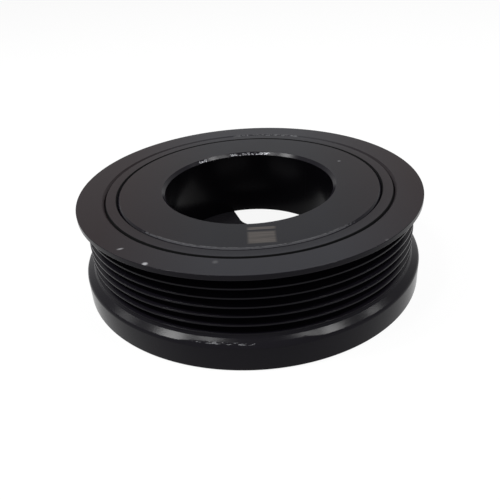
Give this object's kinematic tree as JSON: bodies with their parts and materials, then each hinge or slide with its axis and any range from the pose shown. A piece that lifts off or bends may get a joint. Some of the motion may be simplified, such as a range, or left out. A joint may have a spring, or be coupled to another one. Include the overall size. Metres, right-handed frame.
{
  "type": "harmonic balancer",
  "caption": "Crankshaft harmonic balancer: cast hub with open well, bonded rubber ring and outer inertia ring with fine V-grooves for the accessory belt.",
  "frame": {"origin": "centre of the inertia ring's rear face, on which the balancer rests", "axes": "+Z along the crank axis towards the front face; one arm of the hub lies near +X"},
  "size_m": [0.1362, 0.1362, 0.0371],
  "materials": {
    "hub": "satin black paint over cast iron",
    "rubber_ring": "satin black, painted over with the faces",
    "inertia_ring": "satin black paint over turned cast iron"
  },
  "bodies": {
    "root": {"hub": "hub", "rubber_ring": "rubber_ring", "inertia_ring": "inertia_ring"}
  },
  "joints": []
}
